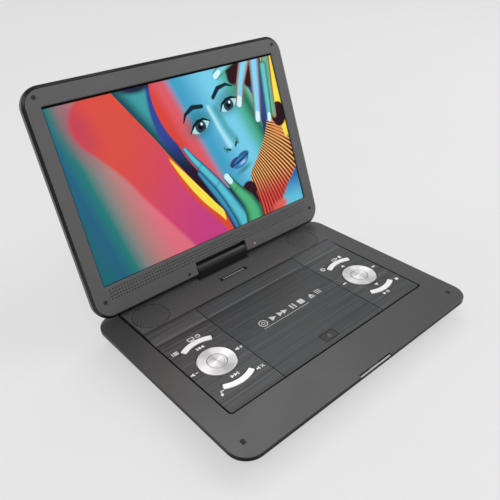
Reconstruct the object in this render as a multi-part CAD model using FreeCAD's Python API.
import FreeCAD, Part
import math
import os
from FreeCAD import Placement, Rotation, Vector

# Portable DVD player: a flat base with a top-loading disc drive and two dial keypads, and a
# 15.4 inch screen on a hinge that both swivels and tilts.
# Millimetres. Origin: centre of the base's footprint, on the table. +X is the user's right,
# +Y the back, +Z up. The screen's own parts are drawn flat in the screen frame (X across,
# Y up from the bottom edge of the display window, Z out of the glass) and then leaned back.

# ---- base: driving dimensions ----
HALF_W = 186.5  # half the width of both halves of the clamshell
HALF_D = 135.6  # half the depth of the base
CORNER_R = 23.0
RIM_Z = 26.0  # the flat rim of the base above the table
WALL = 2.0
FLOOR_Z = 4.0  # inside of the bottom shell
KEEL_Z = 2.0  # outside of the bottom shell
SEAM_Z = 23.6  # where the two base shells meet
TUCK_Z = 21.3  # the side wall starts to tuck in below this height
SIDE_TUCK = 18.0  # how far the underside is inset at the front and sides
BACK_TUCK = 2.0

# ---- inset top panel ----
PANEL_X = 157.4
PANEL_FRONT = -83.2
PANEL_BACK = 130.5
GROOVE = 2.0
CREASE_Y = 51.5  # the deck starts to rise here
RISE_Y = 73.8  # seam to the speaker strip, where the deck has risen by STEP
STEP = 2.0
DECK_Z = RIM_Z - WALL  # underside of the deck

# ---- disc bay ----
LID_X = 81.8
SEAM = 1.0  # gap between lid and fascia
DISC_Y = -12.0
WELL_R = 62.5
WELL_FLOOR = 16.0
LID_BEAD_R = 1.6
LID_AXIS_Y = RISE_Y - 0.1 - LID_BEAD_R
LID_AXIS_Z = RIM_Z + STEP - LID_BEAD_R
HUB_SEAT_Z = 19.4
OPEN_Y = -68.5  # centre of the open button
SLED_Y = DISC_Y - 23.0  # the pickup parks at a 23 mm radius

# ---- keypads ----
DIAL_X = 119.4
DIAL_Y = -14.5
RING_R = 22.0
CENTRE_R = 10.8
ARC_R = 39.5  # mean radius of the arc keys
ARC_W = 7.0
ARC_HALF = 30.0  # degrees each side of the middle
KEY_GAP = 0.6

# ---- jack bay on the right side ----
BAY_X = 172.0
BAY_Y0, BAY_Y1 = -62.0, 53.0
BAY_Z0, BAY_Z1 = 6.0, 19.3
JACK_Z = 12.5

# ---- hinge ----
HINGE_Y = 127.4
HINGE_Z = 37.9
COVER_HALF = 40.5
COVER_R = 8.8
POST_R = 5.5
BUSH_R = 7.6
SHAFT_R = 3.0
RUNNING = 0.05  # radial clearance of a running fit

# ---- screen, in its own frame ----
LEAN = 20.0  # degrees back from upright
SCREEN_TOP = 231.6
SCREEN_FOOT = -39.0
SCREEN_T = 16.0
FACE_X = 183.1  # half width of the bezel's front face
FACE_TOP = 227.8
FACE_FOOT = -35.2
FACE_R = 19.5
WINDOW_X = 166.5
WINDOW_H = 209.1
NOTCH_X = 42.0
NOTCH_V = -18.9  # upper edge of the hinge notch
PIVOT_V = -31.5  # the tilt axis, up the screen and behind its face
PIVOT_W = -8.5
SHELL_RIM_W = -3.0
PLUG_X = 171.0
PLUG_V = (220.0, -17.0)

SIDES = {"left": -1, "right": 1}
X_AXIS, Y_AXIS, Z_AXIS = Vector(1, 0, 0), Vector(0, 1, 0), Vector(0, 0, 1)


# ---- building blocks ----
def box(x0, x1, y0, y1, z0, z1):
    return Part.makeBox(x1 - x0, y1 - y0, z1 - z0, Vector(x0, y0, z0))


def disc(x, y, z0, z1, r):
    return Part.makeCylinder(r, z1 - z0, Vector(x, y, z0))


def tube(x, y, z0, z1, outer, inner):
    return disc(x, y, z0, z1, outer).cut(disc(x, y, z0, z1, inner))


def bar_x(x0, x1, y, z, r):
    return Part.makeCylinder(r, x1 - x0, Vector(x0, y, z), X_AXIS)


def bar_y(x, y0, y1, z, r):
    return Part.makeCylinder(r, y1 - y0, Vector(x, y0, z), Y_AXIS)


def fuse(shapes):
    first, *rest = shapes
    return first.multiFuse(rest).removeSplitter() if rest else first


def cut(shape, *tools):
    return shape.cut(Part.makeCompound(list(tools)))


def outline(x0, x1, y0, y1, z, r):
    """Closed rectangle in plan with round corners."""
    centres = [(x1 - r, y0 + r), (x1 - r, y1 - r), (x0 + r, y1 - r), (x0 + r, y0 + r)]
    arcs = []
    for quarter, (x, y) in enumerate(centres):
        start = math.radians(90 * (quarter - 1))
        circle = Part.Circle(Vector(x, y, z), Z_AXIS, r)
        arcs.append(Part.ArcOfCircle(circle, start, start + math.pi / 2).toShape())
    edges = []
    for here, after in zip(arcs, arcs[1:] + arcs[:1]):
        edges += [here, Part.makeLine(here.Vertexes[-1].Point, after.Vertexes[0].Point)]
    return Part.Wire(edges)


def slab(x0, x1, y0, y1, z0, z1, r):
    return Part.Face(outline(x0, x1, y0, y1, z0, r)).extrude(Vector(0, 0, z1 - z0))


def level_edges(shape, z):
    return [e for e in shape.Edges if abs(e.BoundBox.ZMin - z) + abs(e.BoundBox.ZMax - z) < 1e-4]


def soften(shape, z, r):
    """Round every edge that lies at height z."""
    return shape.makeFillet(r, level_edges(shape, z))


def prism_x(points, x0, x1):
    """Extrude a (y, z) polygon along X."""
    corners = [Vector(x0, y, z) for y, z in points]
    face = Part.Face(Part.makePolygon(corners + corners[:1]))
    return face.extrude(Vector(x1 - x0, 0, 0))


def turned(x, y, profile):
    """Revolve a (radius, z) polygon about a vertical axis."""
    corners = [Vector(x + r, y, z) for r, z in profile]
    face = Part.Face(Part.makePolygon(corners + corners[:1]))
    return face.revolve(Vector(x, y, 0), Z_AXIS, 360)


def sector(x, y, z0, z1, r0, r1, middle, half):
    """Flat piece of a ring, from middle - half to middle + half degrees."""
    a0, a1 = math.radians(middle - half), math.radians(middle + half)
    centre = Vector(x, y, z0)
    inner = Part.ArcOfCircle(Part.Circle(centre, Z_AXIS, r0), a0, a1).toShape()
    outer = Part.ArcOfCircle(Part.Circle(centre, Z_AXIS, r1), a0, a1).toShape()
    ends = [Part.makeLine(inner.Vertexes[i].Point, outer.Vertexes[i].Point) for i in (0, -1)]
    wire = Part.Wire([inner, ends[1], outer, ends[0]])
    return Part.Face(wire).extrude(Vector(0, 0, z1 - z0))


def mirrored(make):
    """The left and the right copy of a piece, as one group."""
    return Part.makeCompound([make(side) for side in SIDES.values()])


def span(side, near, far):
    """The interval from near to far on one side of the middle plane."""
    return sorted((side * near, side * far))


def leaned(shape):
    """Carry a shape from the screen frame to its place on the hinge."""
    stand = Placement(Vector(0, HINGE_Y, HINGE_Z), Rotation(X_AXIS, 90 - LEAN))
    pivot = Placement(Vector(0, -PIVOT_V, -PIVOT_W), Rotation())
    moved = shape.copy()
    moved.Placement = stand.multiply(pivot).multiply(moved.Placement)
    return moved


# ---- base shells ----
SCREWS = [(s * x, y) for s in SIDES.values() for x, y in ((162, -100), (162, 62), (162, 118), (60, -108))]
MOUNT_POSTS = [(-32, -80), (36, -80), (-32, 10), (36, 10)]


def tub(sections):
    """Loft through (height, front and side inset, back inset) sections of the base outline."""
    wires = []
    for z, inset, back in sections:
        r = CORNER_R - inset / 2
        x, front = HALF_W - inset, -HALF_D + inset
        wires.append(outline(-x, x, front, HALF_D - back, z, r))
    return Part.makeLoft(wires, True, True)


def base_bottom_shell():
    outer = tub([(SEAM_Z, 0, 0), (TUCK_Z, 0, 0), (8, 9, 0.2), (3.2, 15, 0.5),
                 (KEEL_Z, SIDE_TUCK, BACK_TUCK)])
    inner = tub([(SEAM_Z + 1, WALL, WALL), (TUCK_Z, WALL, WALL), (8, 11, 2.2), (FLOOR_Z, 16, 2.5)])
    bay = box(BAY_X - WALL, HALF_W + 4, BAY_Y0 - WALL, BAY_Y1 + WALL, FLOOR_Z, TUCK_Z).common(outer)
    posts = [disc(x, y, KEEL_Z + 1, 9.6, 3.6) for x, y in SCREWS]
    posts += [disc(x, y, KEEL_Z + 1, 8.6, 3.6) for x, y in MOUNT_POSTS]
    shell = fuse([outer.cut(inner), bay] + posts)
    tools = [box(BAY_X, HALF_W + 9, BAY_Y0, BAY_Y1, BAY_Z0, BAY_Z1)]
    tools += jack_holes()
    tools += [disc(x, y, KEEL_Z - 1, 10, 1.5) for x, y in SCREWS]
    tools += [disc(x, y, KEEL_Z - 1, 5, 2.9) for x, y in SCREWS]
    tools += [disc(x, y, KEEL_Z - 1, KEEL_Z + 0.6, FOOT_R) for x, y in FEET]
    tools += [slab(x - 1.2, x + 1.2, 64, 104, KEEL_Z - 1, 5, 1.1) for x in range(-36, 37, 6)]
    tools.append(disc(0, HINGE_Y, FLOOR_Z, SEAM_Z + 1, BUSH_R))
    tools += [battery_hatch(0.3, KEEL_Z - 1, HATCH_STEP), battery_hatch(-2.0, KEEL_Z, FLOOR_Z + 1)]
    tools.append(slab(-30, 40, -60, -20, KEEL_Z - 1, KEEL_Z + 0.3, 2))
    return cut(shell, *tools)


BATTERY = (-152, -96, -75, 45)
HATCH_STEP = 3.1  # the hatch rests on a rebate at this height


def battery_hatch(grow, z0, z1):
    x0, x1, y0, y1 = BATTERY
    return slab(x0 - 2 - grow, x1 + 2 + grow, y0 - 2 - grow, y1 + 2 + grow, z0, z1, 3)


def battery_door():
    plate = battery_hatch(0, KEEL_Z, HATCH_STEP)
    grips = [slab(-136, -112, y, y + 1.4, KEEL_Z - 1, KEEL_Z + 0.5, 0.6) for y in (30, 33, 36)]
    return cut(fuse([plate, battery_hatch(-2.3, HATCH_STEP - 0.1, FLOOR_Z - 0.1)]), *grips)


def base_top_shell():
    plate = slab(-HALF_W, HALF_W, -HALF_D, HALF_D, SEAM_Z, RIM_Z, CORNER_R)
    plate = soften(plate, RIM_Z, 0.8)
    inner_r = CORNER_R - WALL
    x, y = HALF_W - WALL, HALF_D - WALL
    plate = plate.cut(slab(-x, x, -y, y, SEAM_Z - 1, DECK_Z, inner_r))
    ledge = slab(-160, 160, -86.2, y, 22.0, DECK_Z, 4).cut(slab(-153.4, 153.4, -79.2, 126.5, 21, 25, 3))
    bosses = [disc(px, py, 9.6, DECK_Z, 3.4) for px, py in SCREWS]
    shell = fuse([plate, ledge] + bosses)
    window = slab(-PANEL_X, PANEL_X, PANEL_FRONT, PANEL_BACK, DECK_Z, RIM_Z + 1, 4.4)
    notch = slab(-25.7, 25.7, -HALF_D - 4, -HALF_D + 3.4, SEAM_Z - 1, RIM_Z + 1, 1.2)
    pads = [bumper(s, 0.2, RIM_Z + 1) for s in SIDES.values()]
    screw_bores = [disc(px, py, 9, 19, 1.2) for px, py in SCREWS]
    return cut(shell, window, notch, disc(0, HINGE_Y, 20, RIM_Z + 2, BUSH_R), *pads, *screw_bores)


FOOT_R = 8.0
FEET = [(s * 146, y) for s in SIDES.values() for y in (-96, 110)]


def rubber_feet():
    return Part.makeCompound([soften(disc(x, y, 0, KEEL_Z + 0.6, FOOT_R), 0, 0.7) for x, y in FEET])


def base_screws():
    screws = []
    for x, y in SCREWS:
        head = disc(x, y, 3.4, 5.0, 2.6)
        slot = fuse([box(x - a, x + a, y - b, y + b, 3, 4) for a, b in ((1.8, 0.3), (0.3, 1.8))])
        screws.append(fuse([head, disc(x, y, 5.0, 18, 1.2)]).cut(slot))
    return Part.makeCompound(screws)


def bumper(side, grow, top):
    """The pad that the closed screen rests on, or its recess when grown."""
    x, y, half_x, half_y = side * 169, -114.4, 2.0 + grow, 2.8 + grow
    return slab(x - half_x, x + half_x, y - half_y, y + half_y, RIM_Z - 1.2, top, 0.9 + grow)


def base_bumpers():
    return mirrored(lambda s: bumper(s, 0, RIM_Z + 0.5))


# ---- deck panels ----
def deck_profile(drop):
    """Section of the deck: flat, then a gentle rise to the speaker strip."""
    front, back = PANEL_FRONT + GROOVE, RISE_Y - 0.4
    top = [(front, RIM_Z), (CREASE_Y, RIM_Z), (back, RIM_Z + STEP)]
    return top + [(back, RIM_Z + STEP - drop), (CREASE_Y, RIM_Z - drop), (front, RIM_Z - drop)]


def fascia(side):
    near, far = LID_X + SEAM, PANEL_X - GROOVE
    x0, x1 = span(side, near, far)
    panel = prism_x(deck_profile(WALL), x0, x1)
    outer_x = side * far
    corner = [
        e for e in panel.Edges
        if abs(e.BoundBox.XMin - outer_x) + abs(e.BoundBox.XMax - outer_x) < 0.001
        and e.BoundBox.YMax < PANEL_FRONT + GROOVE + 0.001
        and e.BoundBox.ZLength > 1
    ]
    panel = panel.makeFillet(3.0, corner)
    x, y = side * DIAL_X, DIAL_Y
    bosses = [disc(side * bx, by, 20.4, DECK_Z + 0.5, 2.5) for bx in (92.5, 148) for by in (-70, 43)]
    hinge_boss = box(*span(side, near, near + 6), 69.5, RISE_Y - 0.4, DECK_Z, 26.8)
    panel = fuse([panel, hinge_boss] + bosses)
    openings = [disc(x, y, 20, 30, RING_R + 0.9)]
    for middle in (90, -90):
        half_w = ARC_W / 2 + KEY_GAP
        slot = sector(x, y, 20, 30, ARC_R - half_w, ARC_R + half_w, middle, ARC_HALF + 0.9)
        openings.append(slot)
    openings.append(bar_x(*span(side, near - 1, near + 4.5), LID_AXIS_Y, LID_AXIS_Z, 0.8 + RUNNING))
    return cut(panel, *openings)


def rear_grille():
    x, y0, y1 = PANEL_X - GROOVE, RISE_Y + 0.3, PANEL_BACK - GROOVE
    top = RIM_Z + STEP
    shell = soften(slab(-x, x, y0, y1, DECK_Z, top, 3), top, 0.4)
    hollow = slab(-x + 1.8, x - 1.8, y0 + 1.8, y1 - 1.8, DECK_Z - 1, top - 1.8, 1.4)
    tools = [hollow, disc(0, HINGE_Y, 20, 30, BUSH_R)]
    tools += [disc(s * SPEAKER_X, SPEAKER_Y, 25, top - 0.6, 22.0) for s in SIDES.values()]
    tools.append(vent_slot(0, 25, 29))
    return cut(shell, *tools)


SPEAKER_X, SPEAKER_Y = 129.5, 98.5
VENT_Y = 99.0


def vent_slot(inset, z0, z1):
    half_x, half_y = 21.4 - inset, 2.5 - inset
    return slab(-half_x, half_x, VENT_Y - half_y, VENT_Y + half_y, z0, z1, half_y - 0.1)


def vent_insert():
    frame = vent_slot(0, 26.2, 27.5).cut(vent_slot(0.8, 26.8, 28))
    pitch = 3.3
    ribs = []
    for n in range(-5, 6):
        x = pitch * n
        ribs.append(box(x - 0.6, x + 0.6, VENT_Y - 1.9, VENT_Y + 1.9, 26.7, 28.1))
    return fuse([frame] + ribs)


def base_speakers():
    def speaker(side):
        x, y = side * SPEAKER_X, SPEAKER_Y
        basket = turned(x, y, [(0, 8.4), (11, 8.4), (11, 14), (21, 22), (22.5, 22), (22.5, 26.2),
                               (21, 26.2), (21, 24), (8, 16.5), (0, 16.5)])
        return basket

    return mirrored(speaker)


# ---- disc bay ----
def disc_well():
    flange = box(-87, 87, -79.0, 70.5, 22.4, DECK_Z)
    wall = disc(0, DISC_Y, WELL_FLOOR - 1.5, DECK_Z, WELL_R + 1.5)
    body = fuse([flange, wall])
    tools = [
        disc(0, DISC_Y, WELL_FLOOR, DECK_Z + 1, WELL_R),
        disc(0, DISC_Y, 10, 20, 15.0),
        box(-9, 9, DISC_Y - 62.4, DISC_Y, 10, WELL_FLOOR + 1),
        box(-16, 16, -79.5, -62, 20.2, DECK_Z + 1),
    ]
    return cut(body, *tools)


def disc_lid():
    front = PANEL_FRONT + GROOVE
    top = [(front, RIM_Z), (CREASE_Y, RIM_Z), (LID_AXIS_Y, RIM_Z + STEP)]
    under = [(LID_AXIS_Y, RIM_Z + 0.1), (CREASE_Y + 2, DECK_Z + 0.3), (front, DECK_Z + 0.3)]
    panel = prism_x(top + under, -LID_X, LID_X)
    bead = bar_x(-LID_X, LID_X, LID_AXIS_Y, LID_AXIS_Z, LID_BEAD_R)
    rib = tube(0, DISC_Y, 23.2, DECK_Z + 0.6, 48.2, 47)
    clamp = tube(0, DISC_Y, 23.2, DECK_Z + 0.6, 20, 17)
    lid = fuse([panel, bead, rib, clamp])
    tools = [slab(-11.0, 11.0, OPEN_Y - 6.5, OPEN_Y + 6.5, 22, 28, 2.5)]
    tools += [bar_x(*span(s, LID_X - 6, LID_X + 1), LID_AXIS_Y, LID_AXIS_Z, 0.8) for s in SIDES.values()]
    return cut(lid, *tools)


def lid_hinge_pins():
    return mirrored(lambda s: bar_x(*span(s, LID_X - 6, LID_X + 4.8), LID_AXIS_Y, LID_AXIS_Z, 0.8))


def open_button():
    cap = soften(slab(-10.4, 10.4, OPEN_Y - 5.9, OPEN_Y + 5.9, 23.1, RIM_Z + 0.15, 2.0), RIM_Z + 0.15, 0.4)
    return fuse([cap, box(-11.6, 11.6, OPEN_Y - 4.6, OPEN_Y + 7, 23.1, 23.9)])


def lid_latch():
    stem = box(-4, 4, -78.6, -76.2, 20.6, DECK_Z + 0.1)
    tongue = box(-4, 4, -79.0, -76.2, 20.6, 21.7)
    return fuse([stem, tongue, box(-9, 9, -78.6, -76.2, 22.6, DECK_Z + 0.1)])


# ---- disc drive ----
def loader_chassis():
    plate = slab(-38, 42, -86, 16, 11.0, 12.2, 3)
    windows = ((-24.6, 24.6, -84, -25.5), (24.6, 33, -84, -17), (23.6, 33.4, -17, -2))
    holes = [box(*window, 10, 13) for window in windows]
    holes += [disc(x, y, 10, 13, 2.6) for x, y in MOUNT_POSTS]
    holes.append(disc(0, DISC_Y, 10, 13, 3.0))
    ribs = [box(-24.6, 33, -85.2, -84, 8.6, 12.2), box(-24.6, 24.6, -25.5, -24.3, 8.6, 12.2)]
    bores = [bar_y(s * 21, -86, -23, 10.2, 1.2) for s in SIDES.values()]
    return cut(fuse([cut(plate, *holes)] + ribs), *bores)


def loader_grommets():
    grommets = []
    for x, y in MOUNT_POSTS:
        profile = [(0, 8.6), (4.2, 8.6), (4.2, 11.0), (2.6, 11.0),
                   (2.6, 12.2), (4.2, 12.2), (4.2, 13.4), (0, 13.4)]
        grommets.append(turned(x, y, profile))
    return Part.makeCompound(grommets)


def spindle_motor():
    can = fuse([disc(0, DISC_Y, 6.4, 11.0, 12.0), disc(0, DISC_Y, 11.0, 13.6, 3.0)])
    return cut(can, disc(0, DISC_Y, 6.0, 14, 1.5 + RUNNING))


def turntable():
    seat = turned(0, DISC_Y, [(0, 15.0), (4.5, 15.0), (4.5, 16.8), (13.5, 16.8), (14.0, 17.4),
                              (14.0, HUB_SEAT_Z), (7.4, HUB_SEAT_Z), (7.4, 21.2), (6.2, 22.6), (0, 22.6)])
    return fuse([seat, disc(0, DISC_Y, 7.0, 15.5, 1.5)])


def guide_rods():
    return mirrored(lambda s: bar_y(s * 21, -85.6, -24.0, 10.2, 1.2))


def pickup_sled():
    body = slab(-17, 17, SLED_Y - 8, SLED_Y + 8, 9.0, 14.2, 2)
    wings = [slab(*span(s, 16, 23.6), SLED_Y - 6, SLED_Y + 6, 8.4, 12.0, 1.2) for s in SIDES.values()]
    bores = [bar_y(s * 21, SLED_Y - 9, SLED_Y + 9, 10.2, 1.2 + RUNNING) for s in SIDES.values()]
    return cut(fuse([body] + wings), *bores, disc(0, SLED_Y, 13.2, 15, 4.0))


def pickup_lens():
    profile = [(0, 13.2), (4.0, 13.2), (4.0, 17.0), (3.0, 17.6), (2.4, 17.6), (1.4, 17.9), (0, 18.0)]
    return turned(0, SLED_Y, profile)


def lead_screw():
    return fuse([bar_y(28.5, -83.4, -16.2, 10.2, 1.5), bar_y(28.5, -18.5, -16.4, 10.2, 3.0)])


def sled_motor():
    return fuse([bar_y(28.5, -16.0, -4.0, 10.2, 4.6).common(box(20, 40, -20, 0, 6, 14.2)),
                 box(24.8, 32.2, -15, -5, 5.8, 7)])


# ---- keypads ----
def nav_gimbal(side):
    return tube(side * DIAL_X, DIAL_Y, 21.4, 22.2, 15.0, 12.6)


def nav_ring(side):
    profile = [(11.4, 22.8), (24.5, 22.8), (24.5, 23.3), (RING_R, 23.3), (RING_R, 26.5),
               (21.5, 26.9), (20.6, 26.9), (11.8, 26.4), (11.4, 26.2)]
    return turned(side * DIAL_X, DIAL_Y, profile)


def centre_button(side):
    profile = [(0, 22.5), (CENTRE_R, 22.5), (CENTRE_R, 26.2), (10.3, 26.6),
               (9.2, 26.6), (8.2, 26.3), (5.5, 26.35), (0, 26.6)]
    return turned(side * DIAL_X, DIAL_Y, profile)


def arc_key(side, middle):
    x, y = side * DIAL_X, DIAL_Y
    cap = sector(x, y, 22.3, 26.7, ARC_R - ARC_W / 2, ARC_R + ARC_W / 2, middle, ARC_HALF)
    upright = [e for e in cap.Edges if e.BoundBox.ZLength > 4]
    cap = soften(cap.makeFillet(1.2, upright), 26.7, 0.5)
    reach = ARC_W / 2 + 1.4
    flange = sector(x, y, 22.3, 23.2, ARC_R - reach, ARC_R + reach, middle, ARC_HALF + 2)
    return fuse([cap, flange])


def key_boards():
    return mirrored(lambda s: slab(*span(s, 90, 151), -73, 46, 18.8, 20.4, 2))


def key_switches():
    def switch(x, y, top):
        return fuse([box(x - 2.6, x + 2.6, y - 2.6, y + 2.6, 20.4, 21.3), disc(x, y, 21.3, top, 1.4)])

    switches = []
    for side in SIDES.values():
        x, y = side * DIAL_X, DIAL_Y
        switches.append(switch(x, y, 21.95))
        for turn in range(4):
            angle = math.radians(90 * turn)
            switches.append(switch(x + 18.6 * math.cos(angle), y + 18.6 * math.sin(angle), 22.1))
        for middle in (90, -90):
            for swing in (-22, 22):
                angle = math.radians(middle + swing)
                switches.append(switch(x + ARC_R * math.cos(angle), y + ARC_R * math.sin(angle), 21.7))
    return Part.makeCompound(switches)


# ---- electronics ----
def main_board():
    plan = ((-100, 150, 58, 112), (118, 168, -60, 55), (118, 150, 55, 58))
    board = fuse([box(*area, 5.4, 7.0) for area in plan])
    chips = [box(-20, 8, 70, 98, 7.0, 9.2), box(-60, -44, 78, 90, 7.0, 8.6), box(30, 52, 66, 74, 7.0, 8.4),
             box(30, 52, 80, 88, 7.0, 8.4), box(124, 140, -30, -14, 7.0, 9.0)]
    cans = [disc(x, 66, 7.0, 15, 3.2) for x in (-90, -80, 64)]
    cans += [disc(128, y, 7.0, 14, 3.2) for y in (10, 20)]
    return fuse([board] + chips + cans)


def battery_pack():
    return slab(*BATTERY, FLOOR_Z, 17.0, 3)


def jack_holes():
    """Holes through the wall of the jack bay, one for each socket."""
    wall = (BAY_X - 5, BAY_X + 1)
    holes = [bar_x(*wall, y, JACK_Z, 3.3) for y in AUDIO_Y]
    holes.append(bar_x(*wall, DC_Y, JACK_Z, 4.4))
    holes.append(box(*wall, USB_Y - 6.6, USB_Y + 6.6, JACK_Z - 2.85, JACK_Z + 2.85))
    holes.append(box(*wall, CARD_Y - 12.4, CARD_Y + 12.4, JACK_Z - 1.4, JACK_Z + 1.4))
    holes.append(box(*wall, SWITCH_Y - 6, SWITCH_Y + 6, JACK_Z - 2, JACK_Z + 2))
    return holes


AUDIO_Y = (37.5, 46.5)
DC_Y, SWITCH_Y, USB_Y, CARD_Y = -50.0, -30.0, -8.0, 18.0
BACK_OF_JACKS = 156.0
BAY_WALL = BAY_X - WALL


def audio_jacks():
    jacks = []
    for y in AUDIO_Y:
        barrel = bar_x(BAY_WALL, BAY_X + 0.8, y, JACK_Z, 3.3)
        body = fuse([box(BACK_OF_JACKS, BAY_WALL, y - 4, y + 4, 7.0, 17.0), barrel])
        jacks.append(body.cut(bar_x(BACK_OF_JACKS + 2, BAY_X + 1, y, JACK_Z, 1.8)))
    return Part.makeCompound(jacks)


def dc_jack():
    body = fuse([box(BACK_OF_JACKS, BAY_WALL, DC_Y - 5.5, DC_Y + 5.5, 7.0, 18.0),
                 bar_x(BAY_WALL, BAY_X + 0.6, DC_Y, JACK_Z, 4.4)])
    body = body.cut(bar_x(BACK_OF_JACKS + 5, BAY_X + 1, DC_Y, JACK_Z, 2.8))
    return fuse([body, bar_x(BACK_OF_JACKS + 4, BAY_X - 1, DC_Y, JACK_Z, 0.8)])


def usb_port():
    y, z = USB_Y, JACK_Z
    sleeve = box(BACK_OF_JACKS, BAY_X + 0.4, y - 6.6, y + 6.6, z - 2.85, z + 2.85)
    sleeve = sleeve.cut(box(BACK_OF_JACKS + 3, BAY_X + 1, y - 6.1, y + 6.1, z - 2.35, z + 2.35))
    tongue = box(BACK_OF_JACKS + 2, BAY_X - 1, y - 5.2, y + 5.2, z + 0.3, z + 2.0)
    return fuse([sleeve, tongue, box(BACK_OF_JACKS + 1, BAY_WALL - 2, y - 5, y + 5, 7.0, z - 2.5)])


def card_slot():
    body = box(146, BAY_X, CARD_Y - 12.4, CARD_Y + 12.4, JACK_Z - 1.4, JACK_Z + 1.4)
    body = fuse([body, box(146, BAY_WALL, CARD_Y - 13.5, CARD_Y + 13.5, 7.0, JACK_Z + 2.4)])
    return body.cut(box(148, BAY_X + 1, CARD_Y - 12.0, CARD_Y + 12.0, JACK_Z - 1.05, JACK_Z + 1.05))


def power_switch():
    knob = box(169.0, BAY_X + 2, SWITCH_Y - 5.7, SWITCH_Y + 0.3, JACK_Z - 1.8, JACK_Z + 1.8)
    ribs = [box(BAY_X + 2, BAY_X + 2.5, y - 0.4, y + 0.4, JACK_Z - 1.5, JACK_Z + 1.5) for y in
            (SWITCH_Y - 4.4, SWITCH_Y - 2.7, SWITCH_Y - 1.0)]
    shield = box(168.2, 169.7, SWITCH_Y - 7.5, SWITCH_Y + 2.0, JACK_Z - 3.2, JACK_Z + 3.2)
    return fuse([knob, shield] + ribs)


def front_catch():
    front = -HALF_D + 0.6
    lip = soften(box(-24.8, 24.8, front, front + 1.7, SEAM_Z + 0.2, 25.2), 25.2, 0.4)
    tongue = box(-8, 8, front + 1.5, front + 14, 21.8, 23.9)
    return fuse([lip, tongue, box(-24.8, 24.8, front + 1.3, front + 1.7, 23.8, 24.6)])


# ---- hinge ----
def arch(half_x, r, foot_z):
    """A half-round barrel on straight sides, along X at the tilt axis."""
    barrel = bar_x(-half_x, half_x, HINGE_Y, HINGE_Z, r)
    return fuse([barrel, box(-half_x, half_x, HINGE_Y - r, HINGE_Y + r, foot_z, HINGE_Z)])


def hinge_cover():
    shell = arch(COVER_HALF, COVER_R, 28.8)
    tools = [arch(COVER_HALF - 1.5, COVER_R - 1.5, 30.0), disc(0, HINGE_Y, 28, 31, POST_R)]
    tools.append(bar_x(-COVER_HALF - 1, COVER_HALF + 1, HINGE_Y, HINGE_Z, SHAFT_R + 0.3))
    return cut(shell, *tools)


def swivel_post():
    parts = [disc(0, HINGE_Y, 8.2, 32, POST_R), bar_x(-36, 36, HINGE_Y, HINGE_Z, 6.8),
             box(-20, 20, HINGE_Y - 5.8, HINGE_Y + 5.8, 30.2, HINGE_Z)]
    tools = [bar_x(*span(s, 14, 37), HINGE_Y, HINGE_Z, SHAFT_R + RUNNING) for s in SIDES.values()]
    tools.append(disc(0, HINGE_Y, 8, HINGE_Z, 3.0))
    return cut(fuse(parts), *tools)


def swivel_bearing():
    flange = slab(-26, 26, HINGE_Y - 14, HINGE_Y + 3.6, FLOOR_Z, 6.0, 2)
    bush = disc(0, HINGE_Y, FLOOR_Z, 28.3, BUSH_R)
    return fuse([flange, bush]).cut(disc(0, HINGE_Y, 7.6, 29, POST_R + RUNNING))


def tilt_shafts():
    return mirrored(lambda s: bar_x(*span(s, 16, 56), HINGE_Y, HINGE_Z, SHAFT_R))


# ---- screen ----
def notch(x, v):
    return box(-x, x, SCREEN_FOOT - 5, v, -SCREEN_T - 1, 2)


def shaft_hole():
    return bar_x(-90, 90, PIVOT_V, PIVOT_W, SHAFT_R)


def back_shell():
    outer = slab(-HALF_W, HALF_W, SCREEN_FOOT, SCREEN_TOP, -SCREEN_T, SHELL_RIM_W, CORNER_R)
    outer = soften(outer, -SCREEN_T, 8.0).cut(notch(NOTCH_X, NOTCH_V))
    x = HALF_W - WALL
    inner = slab(-x, x, SCREEN_FOOT + WALL, SCREEN_TOP - WALL, -SCREEN_T + WALL, 0, CORNER_R - WALL)
    inner = soften(inner, -SCREEN_T + WALL, 6.0).cut(notch(NOTCH_X + WALL, NOTCH_V + WALL))
    posts = [disc(s * PLUG_X, v, -SCREEN_T + 1, -2.2, 2.6) for s in SIDES.values() for v in PLUG_V]
    bores = [disc(s * PLUG_X, v, -12.5, 0, 1.2) for s in SIDES.values() for v in PLUG_V]
    line = slab(-150, 150, 4, 196, -SCREEN_T - 1, -SCREEN_T + 0.5, 14)
    line = line.cut(slab(-149, 149, 5, 195, -18, -15, 13))
    lintel = box(-NOTCH_X, NOTCH_X, PIVOT_V + COVER_R + 0.35, NOTCH_V, -SCREEN_T, -5.5)
    return cut(fuse([outer.cut(inner), lintel] + posts), shaft_hole(), line, *bores)


def bezel_trim():
    slope = []
    for w, inset in ((SHELL_RIM_W, 0), (SHELL_RIM_W + 0.1, 0), (-0.5, 3.2)):
        x = HALF_W - inset
        slope.append(outline(-x, x, SCREEN_FOOT + inset, SCREEN_TOP - inset, w, CORNER_R - inset))
    outer = Part.makeLoft(slope, True, True)
    face = slab(-FACE_X, FACE_X, FACE_FOOT, FACE_TOP, -2.2, 1, FACE_R)
    inner = slab(-FACE_X + 3, FACE_X - 3, FACE_FOOT + 3, FACE_TOP - 3, -4, 1, FACE_R - 3)
    return cut(outer, face, inner, notch(NOTCH_X, NOTCH_V))


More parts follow.
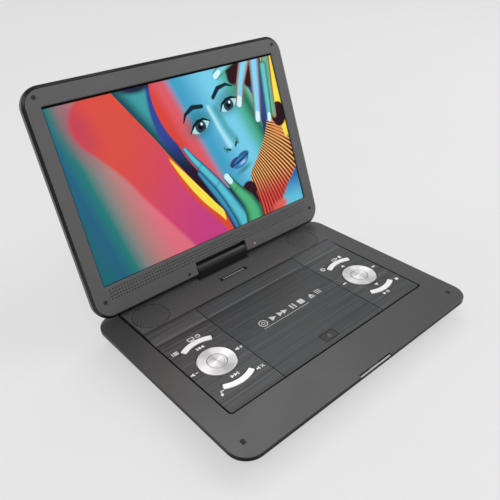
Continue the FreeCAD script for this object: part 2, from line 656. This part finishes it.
def screen_bezel():
    plate = slab(-FACE_X, FACE_X, FACE_FOOT, FACE_TOP, -2.2, 0, FACE_R)
    plate = soften(plate, 0, 0.7)
    bevel = []
    for w, d in ((-0.8, 0), (0.2, 1.0)):
        bevel.append(outline(-WINDOW_X - d, WINDOW_X + d, -d, WINDOW_H + d, w, 0.6 + d))
    tools = [slab(-WINDOW_X, WINDOW_X, 0, WINDOW_H, -3, 1, 0.6), Part.makeLoft(bevel, True, True)]
    tools += [notch(NOTCH_X, NOTCH_V), disc(-55, -30, -3, 1, 2.0), disc(57, -30, -3, 1, 1.25)]
    for side in SIDES.values():
        for v in PLUG_V:
            tools += [disc(side * PLUG_X, v, -1.5, 1, 2.5), disc(side * PLUG_X, v, -3, 0, 1.2)]
    return cut(plate, *tools)


def screen_screws():
    screws = []
    for side in SIDES.values():
        for v in PLUG_V:
            x = side * PLUG_X
            screws.append(fuse([disc(x, v, -1.5, -0.9, 2.2), disc(x, v, -12, -1.5, 1.2)]))
    return Part.makeCompound(screws)


def rubber_plugs():
    plugs = [soften(disc(s * PLUG_X, v, -0.9, 0.5, 2.4), 0.5, 0.4) for s in SIDES.values() for v in PLUG_V]
    return Part.makeCompound(plugs)


def led_light_pipe():
    return soften(disc(57, -30, -2.2, 0.2, 1.25), 0.2, 0.3)


def lcd_panel():
    return box(-168.5, 168.5, -2.0, WINDOW_H + 2, -4.6, -2.3)


def backlight_unit():
    tray = box(-170, 170, -5.0, WINDOW_H + 4, -8.2, -4.7)
    tabs = [box(*span(s, 169, 176), v - 6, v + 6, -8.2, -7.2) for s in SIDES.values() for v in (40, 170)]
    return fuse([tray] + tabs)


def screen_boards():
    def board(side):
        chips = [box(*span(side, 96, 112), -31, -23, -10.0, -8.0),
                 box(*span(side, 124, 140), -30, -22, -9.6, -8.0)]
        return fuse([box(*span(side, 90, 150), -33, -20.5, -8.0, -6.6)] + chips)

    return mirrored(board)


def screen_speakers():
    def speaker(side):
        body = slab(*span(side, 72, 140), -18.5, -6.5, -9.5, -2.4, 3)
        return body.cut(slab(*span(side, 74, 138), -17, -8, -3.6, -2, 2))

    return mirrored(speaker)


def hinge_brackets():
    def bracket(side):
        eye = bar_x(*span(side, 46, 52), PIVOT_V, PIVOT_W, 5.0)
        arm = box(*span(side, 46, 52), PIVOT_V, -12, -12.5, -5)
        foot = box(*span(side, 46, 84), -26, -12, -13.95, -12.4)
        return fuse([eye, arm, foot]).cut(shaft_hole())

    return mirrored(bracket)


# ---- the assembly ----
BASE_NODES = [
    base_bottom_shell, base_top_shell, rubber_feet, base_screws, base_bumpers, rear_grille, vent_insert,
    base_speakers, disc_well, disc_lid, lid_hinge_pins, open_button, lid_latch, loader_chassis,
    loader_grommets, spindle_motor, turntable, guide_rods, pickup_sled, pickup_lens, lead_screw, sled_motor,
    key_boards, key_switches, main_board, battery_pack, battery_door, audio_jacks, dc_jack,
    usb_port, card_slot, power_switch, front_catch, swivel_bearing, swivel_post, hinge_cover, tilt_shafts,
]
SCREEN_NODES = [
    back_shell, bezel_trim, screen_bezel, screen_screws, rubber_plugs, led_light_pipe, lcd_panel,
    backlight_unit, screen_boards, screen_speakers, hinge_brackets,
]


def nodes():
    """Every named piece of the player with its shape."""
    for make in BASE_NODES:
        yield make.__name__, make()
    for make in SCREEN_NODES:
        yield make.__name__, leaned(make())
    for name, side in SIDES.items():
        yield f"fascia_{name}", fascia(side)
        yield f"nav_gimbal_{name}", nav_gimbal(side)
        yield f"nav_ring_{name}", nav_ring(side)
        yield f"centre_button_{name}", centre_button(side)
        for place, middle in (("back", 90), ("front", -90)):
            yield f"arc_key_{name}_{place}", arc_key(side, middle)


os.makedirs("parts", exist_ok=True)
for node, shape in nodes():
    shape.exportStep(f"parts/{node}.step")
    print(f"{node}: {len(shape.Solids)} solids, valid {shape.isValid()}, {shape.Volume / 1000:.2f} cm3")
